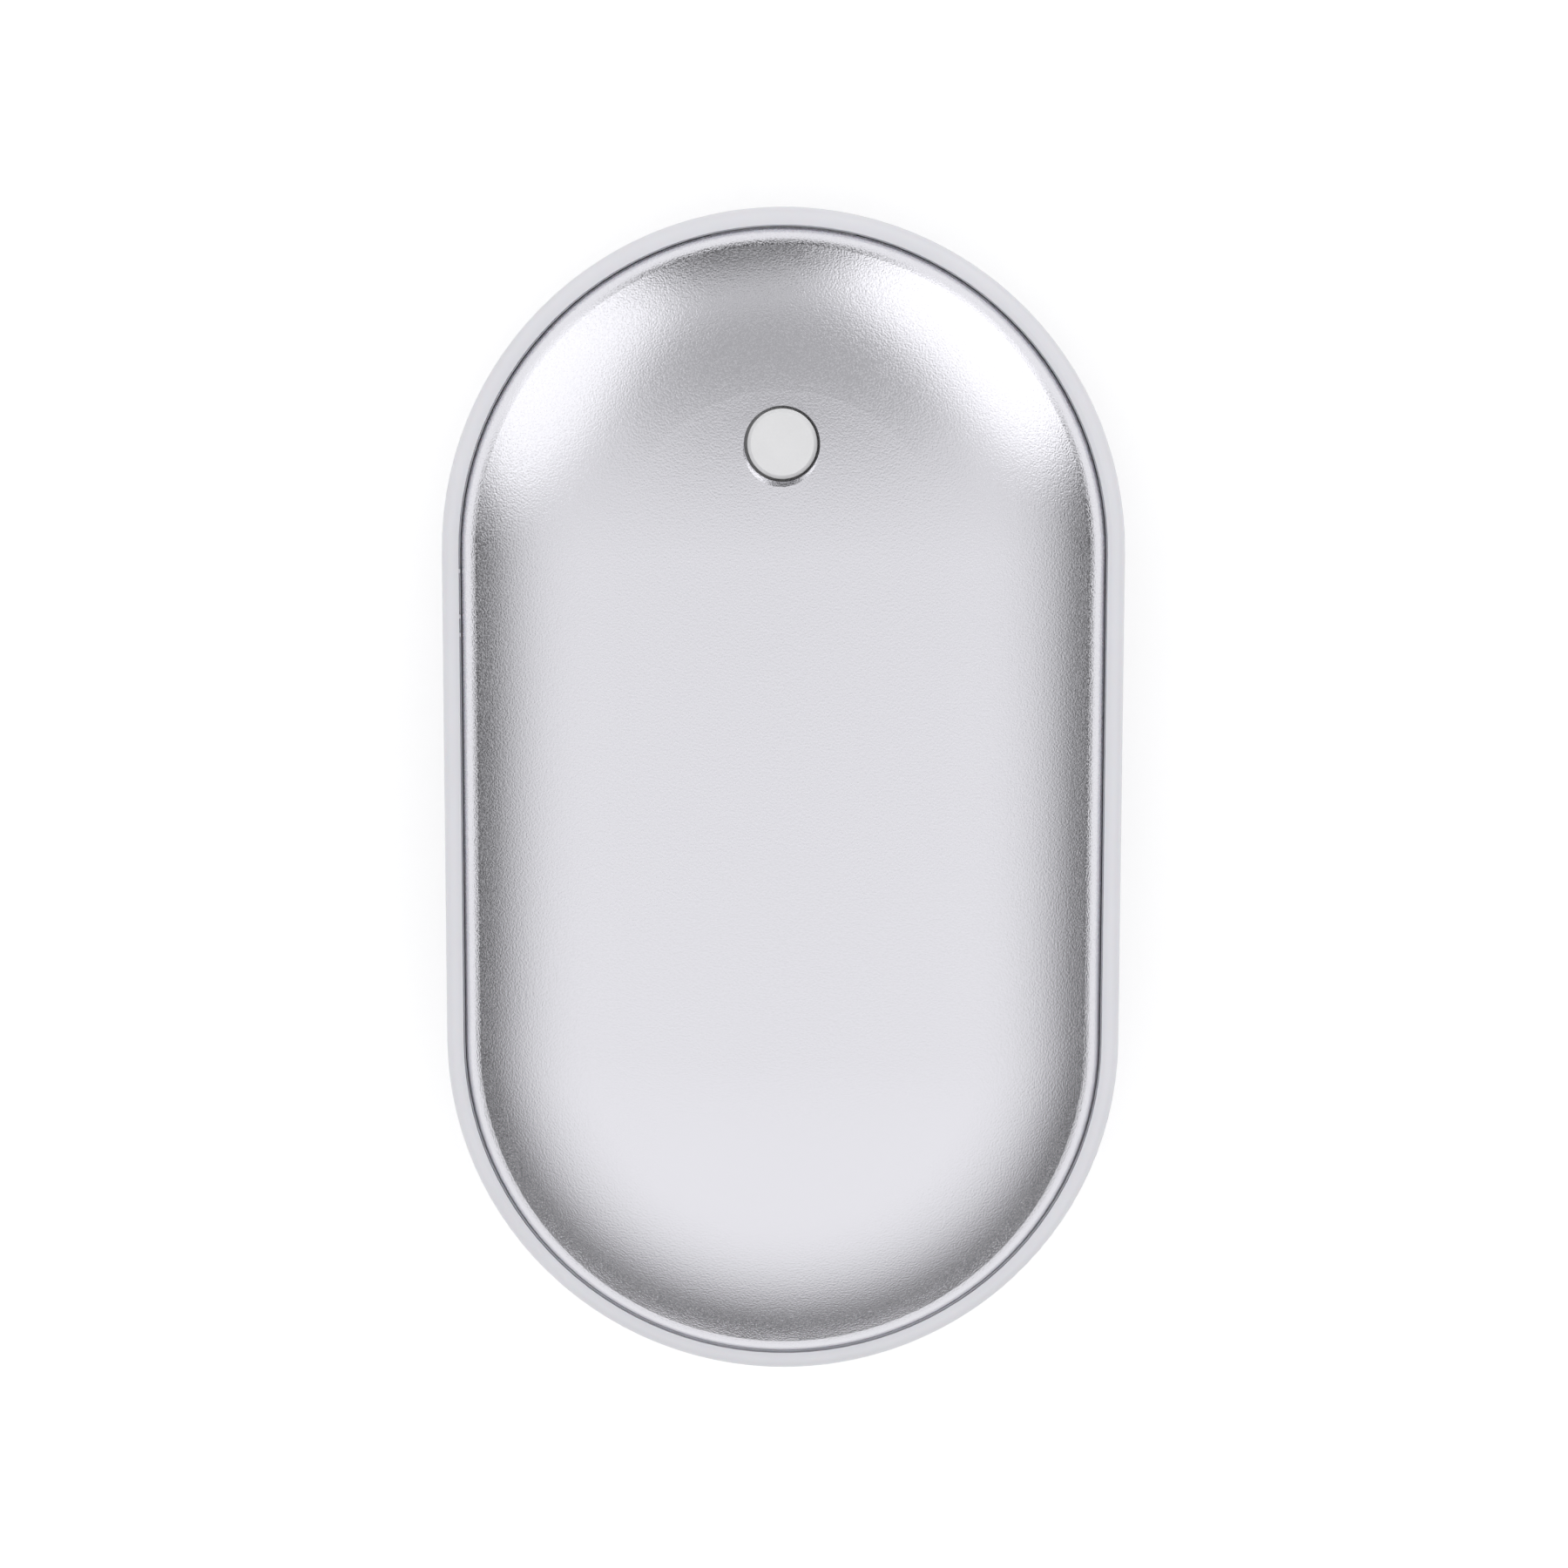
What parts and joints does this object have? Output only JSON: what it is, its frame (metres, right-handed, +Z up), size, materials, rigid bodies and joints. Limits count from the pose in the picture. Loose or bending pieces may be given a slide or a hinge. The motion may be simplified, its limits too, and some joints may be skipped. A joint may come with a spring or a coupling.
{
  "type": "rechargeable hand warmer",
  "caption": "Pebble-shaped rechargeable hand warmer: two satin aluminium shells on a white band, with a push button, a charging socket and a power outlet socket.",
  "frame": {"origin": "centre of the outline on the ground-flat middle of the back shell, which rests on the surface", "axes": "+Z up through the button side, +Y towards the end that has the sockets, +X to the right seen from the button side"},
  "size_m": [0.06, 0.1036, 0.0259],
  "materials": {
    "satin_aluminium": "satin, fine bead-blasted grain, clear anodised",
    "white_band": "smooth moulded, semi-gloss",
    "white_button": "smooth moulded, satin",
    "carrier_plastic": "plain moulded",
    "adhesive": "double-sided tape",
    "polyimide": "thin film",
    "heating_foil": "etched foil",
    "black_plastic": "moulded",
    "spring_steel": "rolled sheet",
    "socket_steel": "nickel plated sheet",
    "gold_contacts": "gold plated",
    "white_insulator": "moulded",
    "board": "solder mask",
    "led_resin": "clear resin over a chip",
    "clear_plastic": "milky light guide",
    "ferrite": "sintered",
    "capacitor_ceramic": "sintered",
    "pouch_foil": "laminated pouch",
    "foam": "closed-cell foam",
    "wire_red": "silicone insulation",
    "wire_black": "silicone insulation",
    "wire_white": "silicone insulation",
    "screw_steel": "zinc plated"
  },
  "bodies": {
    "case": {"front_shell": "satin_aluminium", "back_shell": "satin_aluminium", "mid_frame": "white_band", "front_carrier": "carrier_plastic", "back_carrier": "carrier_plastic", "front_adhesive": "adhesive", "back_adhesive": "adhesive", "front_heater_film": "polyimide", "back_heater_film": "polyimide", "front_heater_track": "heating_foil", "back_heater_track": "heating_foil", "switch_housing": "black_plastic", "switch_cover": "spring_steel", "switch_dome": "spring_steel", "switch_legs": "spring_steel", "main_board": "board", "usb_a_shell": "socket_steel", "usb_a_tongue": "white_insulator", "usb_a_contacts": "gold_contacts", "micro_usb_shell": "socket_steel", "micro_usb_tongue": "black_plastic", "micro_usb_contacts": "gold_contacts", "indicator_leds": "led_resin", "light_guide": "clear_plastic", "power_inductor": "ferrite", "control_chips": "black_plastic", "chip_capacitors": "capacitor_ceramic", "battery_cell": "pouch_foil", "battery_end_board": "board", "battery_tabs": "spring_steel", "front_foam": "foam", "back_foam": "foam", "battery_lead_red": "wire_red", "battery_lead_black": "wire_black", "front_heater_leads": "wire_white", "back_heater_leads": "wire_white", "front_thermistor": "wire_black", "thermal_fuse": "spring_steel", "board_screws": "screw_steel", "case_screws": "screw_steel"},
    "button": {"button_cap": "white_button", "switch_plunger": "black_plastic"}
  },
  "joints": [
    {"name": "button_press", "type": "slide", "parent": "case", "child": "button", "axis": [0, 0, -1], "range_m": [0, 0.0004], "stiffness_N_per_m": 3200, "deforming": ["switch_dome"]}
  ]
}
